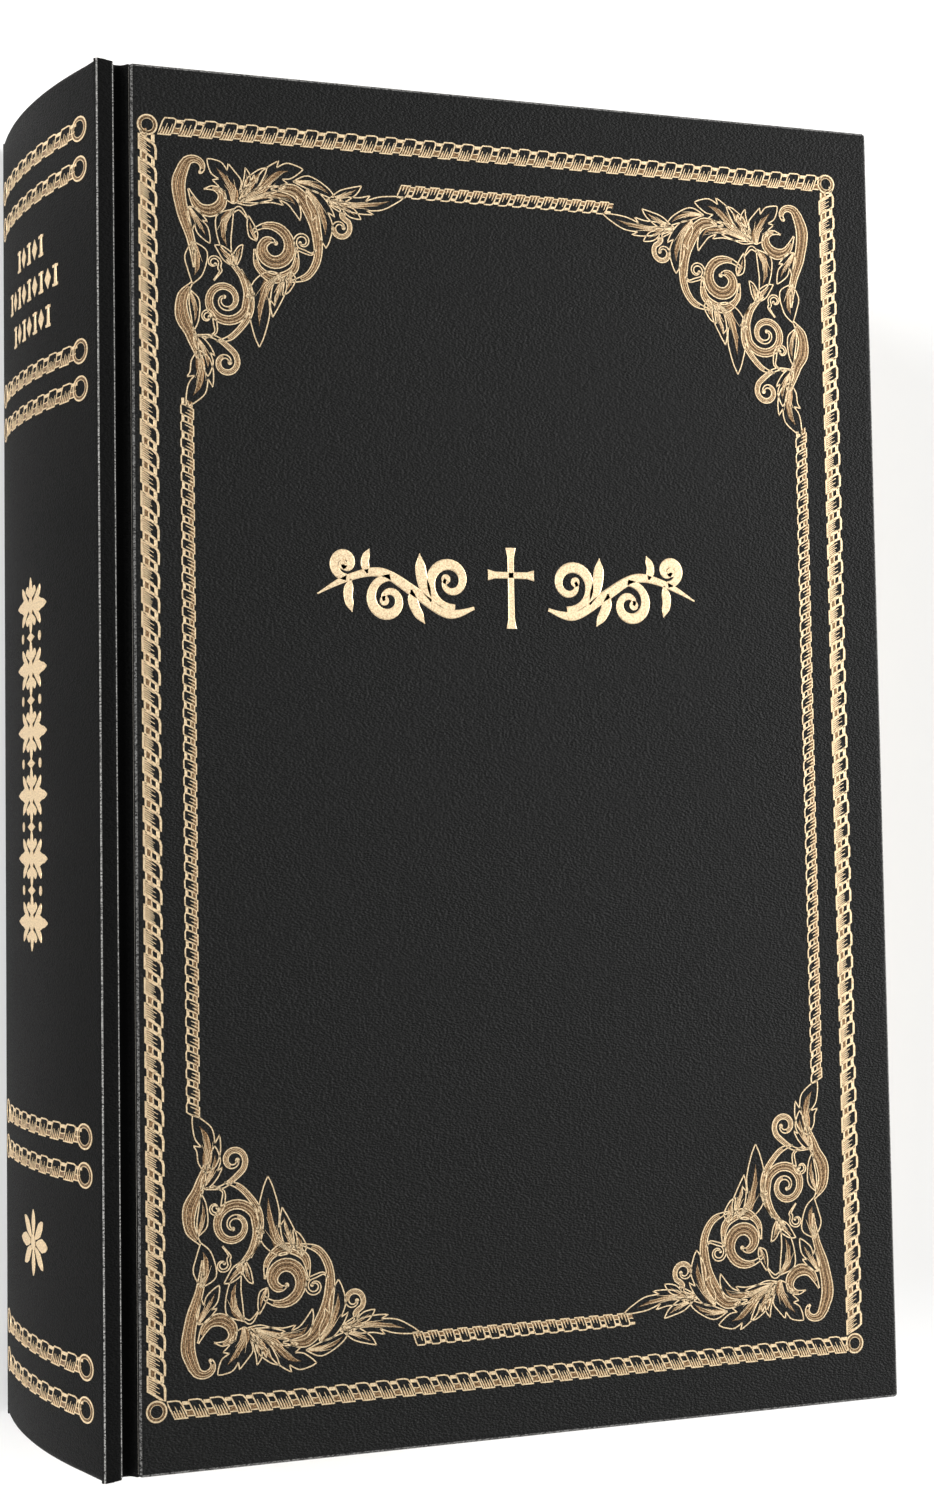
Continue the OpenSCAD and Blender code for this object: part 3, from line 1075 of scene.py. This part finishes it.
def leaf(foil, points, width, lobes=2, brush=2):
    """A leaf from base to tip: a bright edge with barbs between its lobes, and a hatched core."""
    rib = spline(points, 10)
    normals = headings(rib)
    last = len(rib) - 1

    def spot(t, side):
        i = max(0.0, min(last, t * last))
        k = min(int(i), last - 1)
        f = i - k
        x = rib[k][0] * (1 - f) + rib[k + 1][0] * f
        y = rib[k][1] * (1 - f) + rib[k + 1][1] * f
        n = normals[k]
        swell = width / 2 * max(0.0, sin(pi * min(1, max(0, t)) ** 0.85)) ** 0.75 + 0.05
        return (x + n[0] * swell * side, y + n[1] * swell * side)

    step = 1 / lobes
    for side in (-1, 1):
        for i in range(lobes - 1):
            a = i * step
            lobe = [spot(a, side * (0.35 if i == 0 else 0.62)), spot(a + 0.4 * step, side),
                    spot(a + 0.8 * step, side * 1.04), spot(a + 1.15 * step, side * 1.3)]
            foil.stroke(spline(lobe, 4) + [spot(a + step, side * 0.62)], LINE * 0.85)
        a = 1 - step
        tip = [spot(a, side * (0.4 if lobes == 1 else 0.62)), spot(a + 0.35 * step, side),
               spot(a + 0.72 * step, side * 0.85), spot(1, 0)]
        foil.stroke(spline(tip, 5), LINE * 0.85)
    core = spline([spot(0.02, 0), spot(0.3, 0.08), spot(0.6, -0.08), spot(0.78, 0)], 4)
    widths = blend_list([0.2 * width, 0.42 * width, 0.2 * width, 0.06], len(core))
    foil.stroke(core, widths, DIM, top=FOIL_TOP * 0.5)
    for k in range(-brush, brush + 1):
        share = k / (brush + 0.5)
        hair = [spot(0.05, share * 0.3), spot(0.35, share * 0.36),
                spot(0.74 - 0.26 * abs(share), share * 0.62)]
        foil.stroke(hair, [THIN * 0.7, THIN * 0.8, 0.04])


def corner_ornament(foil):
    """Scrolls and leaves of one corner; points are (along the head, along the side) from the corner."""
    # outer side: a hooked stem, a crescent inside its hook, and leaves down to the chain
    scroll(foil, [(3.8, 19.2), (3.4, 15.0), (1.9, 10.0), (1.2, 5.6)], (4.3, 2.6), 2.4, 175, 0.62,
           [0.5, 1.5, 2.2, 2.5, 2.1, 1.3, 0.8], 0.3, 0.35)
    stem(foil, spline([(2.9, 6.0), (4.4, 8.7), (6.6, 9.5), (8.5, 8.3), (8.7, 6.5), (7.3, 5.6),
                       (5.6, 5.9)], 8), [0.5, 1.6, 2.2, 2.0, 1.5, 1.0, 0.3])
    leaf(foil, [(3.0, 9.0), (4.6, 11.6), (6.6, 15.0)], 2.4)
    leaf(foil, [(3.5, 14.8), (4.3, 18.0), (3.5, 22.0)], 4.0, 1)
    stem(foil, spline([(3.4, 21.8), (1.7, 24.4), (1.7, 27.6), (3.2, 30.6), (4.4, 34.4)], 9),
         [0.6, 2.0, 2.5, 2.0, 0.8])
    leaf(foil, [(3.0, 23.0), (4.0, 26.0), (3.6, 30.0)], 1.8, 1, 1)
    leaf(foil, [(3.6, 30.4), (5.8, 33.6), (6.0, 37.4)], 2.2)
    leaf(foil, [(4.4, 33.0), (4.9, 37.6), (2.3, 42.6)], 3.8)
    scroll(foil, [(4.4, 30.6), (7.4, 30.8)], (9.2, 34.9), 2.3, -55, 1.15, [0.5, 1.1, 1.1, 0.7], 0.4, 0.3)
    # head side: upright leaves, then a long leafy stem to the chain
    leaf(foil, [(10.7, 8.0), (10.2, 4.6), (6.2, 0.7)], 4.0, 3)
    leaf(foil, [(11.6, 7.4), (13.3, 4.6), (12.9, 1.7)], 1.5, 1, 1)
    leaf(foil, [(12.6, 6.4), (14.6, 3.6), (16.8, 1.4)], 2.2, 1, 1)
    leaf(foil, [(11.4, 7.8), (15.6, 5.2), (19.0, 2.2), (23.2, 1.2)], 4.0, 3)
    leaf(foil, [(12.4, 7.6), (16.6, 6.0), (21.0, 6.4), (22.6, 10.0)], 2.6, 2)
    stem(foil, spline([(17.4, 5.0), (21.6, 5.0), (24.4, 8.2), (25.6, 12.4), (25.6, 16.4), (23.8, 19.4),
                       (20.6, 20.6)], 8), [0.5, 2.2, 2.6, 1.9, 1.5, 1.3, 0.5])
    leaf(foil, [(23.8, 4.6), (26.6, 8.6), (27.2, 14.4)], 3.4, 2)
    leaf(foil, [(21.4, 3.4), (25.4, 3.6), (29.2, 6.2)], 2.2, 1)
    leaf(foil, [(27.4, 6.0), (30.8, 7.4), (33.6, 9.0)], 1.8)
    leaf(foil, [(28.0, 5.8), (31.0, 5.0), (33.8, 3.2)], 2.0, 1)
    leaf(foil, [(29.0, 6.2), (34.6, 6.6), (41.6, 4.6)], 2.6)
    scroll(foil, [(27.6, 6.6), (30.0, 7.4)], (29.8, 10.8), 2.1, -80, 1.2, [0.5, 1.0, 1.0, 0.6], 0.35, 0.3)
    # middle: an open scroll in a wreath, a small curl beside it, and the leaf that points inwards
    leaf(foil, [(14.8, 14.0), (14.0, 12.4), (13.4, 9.8)], 1.6, 1, 1)
    scroll(foil, [], (17.6, 15.0), 4.3, 215, 1.25, [0.8, 1.9, 2.3, 2.3, 1.7, 0.6], 0.4, 0.24)
    stem(foil, spline([(14.4, 15.4), (15.0, 18.4), (17.8, 20.2), (21.4, 18.4), (22.0, 14.6)], 8),
         [0.5, 1.2, 1.8, 1.5, 0.4])
    scroll(foil, [(25.4, 14.8), (24.6, 15.6)], (23.0, 13.6), 1.7, 80, 1.2, [0.4, 0.8, 0.8, 0.5], 0.3, 0.3)
    leaf(foil, [(20.8, 18.6), (20.6, 20.8), (19.3, 23.0)], 1.8, 1, 1)
    leaf(foil, [(20.0, 19.6), (18.4, 22.6), (17.5, 26.8)], 2.4, 1)
    leaf(foil, [(19.0, 19.4), (15.6, 23.2), (15.1, 32.0)], 4.2, 2)
    # inner side: a falling leaf, and a spiral below it
    stem(foil, spline([(10.2, 9.8), (11.8, 8.7), (13.3, 10.4)], 7), [0.5, 0.9, 0.4])
    leaf(foil, [(10.8, 8.9), (8.7, 12.4), (10.4, 17.0)], 3.2, 1)
    leaf(foil, [(10.6, 18.6), (9.4, 16.6), (7.4, 15.2)], 1.9, 1, 1)
    leaf(foil, [(11.0, 18.8), (11.4, 16.4), (12.4, 14.8)], 1.3, 1, 1)
    scroll(foil, [(9.6, 17.4), (12.2, 20.2)], (9.2, 24.4), 4.2, -20, 1.75,
           [0.7, 1.6, 1.7, 1.3, 0.9, 0.6], 0.35, 0.14)
    stem(foil, spline([(12.0, 19.0), (13.6, 22.6), (13.4, 26.6), (10.4, 30.4), (7.6, 31.4)], 8),
         [0.4, 1.1, 1.2, 1.1, 0.4])
    scroll(foil, [(7.2, 21.2), (8.4, 19.6)], (7.2, 18.2), 1.3, 40, -1.0, [0.4, 0.8, 0.7, 0.4], 0.28, 0.3)
    scroll(foil, [(5.6, 31.0), (7.4, 30.0), (7.4, 28.4)], (6.0, 27.4), 1.2, 0, -1.0,
           [0.4, 0.9, 0.7, 0.4], 0.28, 0.3)


def make_front_corners():
    """The same ornament in the four corners, mirrored."""
    foil = Foil(on_front)
    for sx in (-1, 1):
        for sy in (-1, 1):
            def place(across, down, h, sx=sx, sy=sy):
                return on_front(sx * (CORNER_EDGE_X - across), sy * (CORNER_EDGE_Y - down), h)
            foil.move(place)
            corner_ornament(foil)
    foil.finish("front_corners", "front_corner_foil", "front_cover")


make_front_corners()


# ---------------------------------------------------------------- cross on the front
EMBLEM_Y = 29.0
EMBLEM_H = 14.0
# (centre, radius, first angle, turns) and (base, tip, width), in mm to the right of the cross
EMBLEM_COILS = (((11.4, 0.9), 4.6, -100, 1.35), ((22.8, -2.4), 3.9, 95, -1.3), ((30.6, 3.6), 2.4, -95, 1.2))
EMBLEM_LEAVES = (((15.0, -2.6), (17.0, 5.6), 2.2), ((18.6, -0.6), (16.2, -6.4), 1.9),
                 ((26.6, 2.0), (26.2, 6.2), 1.5), ((29.6, 1.0), (29.4, -4.6), 1.7))


def make_front_emblem():
    """A plain cross between two leafy flourishes."""
    foil = Foil(on_front)
    arm = EMBLEM_H * 0.31
    low, high = EMBLEM_Y - EMBLEM_H / 2, EMBLEM_Y + EMBLEM_H / 2
    bar_y = high - EMBLEM_H * 0.34
    flare = [1.9, 1.2, 1.1, 1.2, 1.9]
    foil.stroke([(0, low + EMBLEM_H * f) for f in (0, 0.12, 0.5, 0.88, 1)], flare)
    foil.stroke([(-arm + 2 * arm * f, bar_y) for f in (0, 0.15, 0.5, 0.85, 1)], flare)
    for s in (-1, 1):
        foil.move(lambda u, v, h, s=s: on_front(s * u, EMBLEM_Y + v, h))
        vine = spline([(7.0, -3.6), (12.0, -4.6), (18.0, -1.0), (24.0, 2.2), (30.0, 1.2), (35.6, -1.6)], 9)
        foil.taper(vine, [0.6, 1.6, 1.9, 1.6, 1.2, 0.3])
        for centre, radius, start, turns in EMBLEM_COILS:
            winding = coil(centre, radius, start, turns, 0.2)
            foil.taper(winding, [1.3, 1.9, 1.3, 0.7])
            foil.dot(winding[-1], 0.85)
        for base, tip, wide in EMBLEM_LEAVES:
            middle = ((base[0] + tip[0]) / 2 + 0.6, (base[1] + tip[1]) / 2)
            foil.taper(spline([base, middle, tip], 7), [0.4, wide, 0.9 * wide, 0.15])
    foil.finish("front_emblem", "front_emblem_foil", "front_cover")


make_front_emblem()


# ---------------------------------------------------------------- foil on the spine
SPINE_ROPE_Y = (104.6, 97.9, 67.3, 61.1)
SPINE_RING = 4.3
SPINE_REACH = HALF_T - 6.2
SPINE_STRETCH = 1.4                  # the rings on the spine are wider than tall


def make_spine_ropes():
    """Eight short ropes across the spine, each between two rings."""
    foil = Foil(on_spine)
    for y in SPINE_ROPE_Y:
        for side in (-1, 1):
            for end in (-1, 1):
                end_ring(foil, (end * SPINE_REACH, side * y), SPINE_RING, SPINE_STRETCH)
            inner = SPINE_REACH - 1.9 * SPINE_STRETCH
            rope(foil, (-inner, side * y), (inner, side * y), ROPE_W, 6.1, -1, 0.6)
    foil.finish("spine_ropes", "spine_rope_foil", "spine")


def lozenge(foil, x, y, wide, tall):
    """A diamond-shaped patch of foil."""
    foil.plate([(x - wide / 2, y), (x, y - tall / 2), (x + wide / 2, y), (x, y + tall / 2)])


def make_spine_title():
    """A column of leafy crosses and lozenges in place of lettering."""
    foil = Foil(on_spine)
    count = 6
    pitch = 65 / count
    for i in range(count):
        y = (i - (count - 1) / 2) * pitch
        for a in range(4):
            angle = pi / 2 * a
            c, s = cos(angle), sin(angle)
            long = 9.4 if a % 2 == 0 else 4.9
            petal = [(r * c, y + r * s) for r in (1.0, long * 0.6, long)]
            foil.taper(spline(petal, 7), [0.9, 2.9, 1.6, 0.3])
            for turn in (-1, 1):
                rays = ((1.4, 1.4, 0.4), (0.38 * long + 1.4, 0.34 * long + 1.0, 2.2),
                        (0.62 * long, 0.5 * long, 3.3))
                curl = [(r * c - w * s * turn, y + t * s + w * c * turn) for r, t, w in rays]
                foil.taper(spline(curl, 6), [0.5, 1.6, 0.4])
        foil.dot((0, y), 1.5)
        if i < count - 1:
            lozenge(foil, 0, y + pitch / 2, 5.0, 1.7)
            for side in (-1, 1):
                foil.dot((side * 5.6, y + pitch / 2), 0.85)
    foil.finish("spine_title", "spine_title_foil", "spine")


def make_spine_emblem():
    """A plain rosette."""
    foil = Foil(on_spine)
    y = -81.0
    for a in range(8):
        angle = tau * a / 8
        petal = [(r * cos(angle), y + r * 0.66 * sin(angle)) for r in (1.8, 3.4, 5.2, 7.2, 8.4)]
        foil.stroke(petal, [0.6, 1.7, 2.4, 1.6, 0.3])
    foil.dot((0, y), 1.4)
    foil.finish("spine_emblem", "spine_emblem_foil", "spine")


def make_spine_rows():
    """Three short rows of small lozenges and bars."""
    foil = Foil(on_spine)
    for y, count in ((88.4, 5), (82.0, 9), (75.6, 7)):
        for i in range(count):
            x = (i - (count - 1) / 2) * 3.7
            if i % 2:
                lozenge(foil, x, y, 3.2, 3.6)
            else:
                foil.stroke([(x, y - 1.9), (x, y + 1.9)], [1.5, 0.8])
                for side in (-1, 1):
                    foil.stroke([(x - 1.3, y + 1.6 * side), (x + 1.3, y + 1.6 * side)], 0.5)
    foil.finish("spine_rows", "spine_small_foil", "spine")


make_spine_ropes()
make_spine_title()
make_spine_emblem()
make_spine_rows()


# ---------------------------------------------------------------- floor and light
FLOOR_HALF = 3.0                     # metres
FLOOR_Z = -0.0004                    # metres, just under the book
WALL_LIGHT = 1.3
CEILING_LIGHT = 0.28


def make_floor():
    """A plain pale floor."""
    mesh = bpy.data.meshes.new("floor")
    corners = ((-1, -1), (1, -1), (1, 1), (-1, 1))
    mesh.from_pydata([(x * FLOOR_HALF, y * FLOOR_HALF, 0) for x, y in corners], [], [(0, 1, 2, 3)])
    m = Nodes("floor")
    m.set(Base_Color=(0.97, 0.97, 0.97), Roughness=0.9, Specular_IOR_Level=0.0)
    mesh.materials.append(m.material)
    floor = bpy.data.objects.new("floor", mesh)
    bpy.context.scene.collection.objects.link(floor)
    floor.location.z = FLOOR_Z


def make_studio():
    """White walls that are bright all round and dim overhead."""
    world = bpy.data.worlds.new("studio")
    world.use_nodes = True
    tree = world.node_tree
    background = tree.nodes["Background"]
    background.inputs["Color"].default_value = (1, 1, 1, 1)
    place = tree.nodes.new("ShaderNodeTexCoord")
    split = tree.nodes.new("ShaderNodeSeparateXYZ")
    level = tree.nodes.new("ShaderNodeMapRange")
    level.interpolation_type = "SMOOTHSTEP"
    level.inputs["From Min"].default_value = 0.0
    level.inputs["From Max"].default_value = 0.85
    level.inputs["To Min"].default_value = WALL_LIGHT
    level.inputs["To Max"].default_value = CEILING_LIGHT
    tree.links.new(place.outputs["Generated"], split.inputs["Vector"])
    tree.links.new(split.outputs["Z"], level.inputs["Value"])
    tree.links.new(level.outputs["Result"], background.inputs["Strength"])
    bpy.context.scene.world = world


def make_lamp(name, lean, tip, energy, width):
    """A broad soft lamp; lean is its angle from overhead towards the spine, tip towards the head."""
    data = bpy.data.lights.new(name, "SUN")
    data.energy = energy
    data.angle = radians(width)
    lamp = bpy.data.objects.new(name, data)
    lamp.rotation_euler = (radians(-tip), radians(-lean), 0)
    bpy.context.scene.collection.objects.link(lamp)


make_floor()
make_studio()
make_lamp("left_lamp", 55, 8, 2.5, 30)
make_lamp("right_lamp", -60, 8, 2.8, 26)
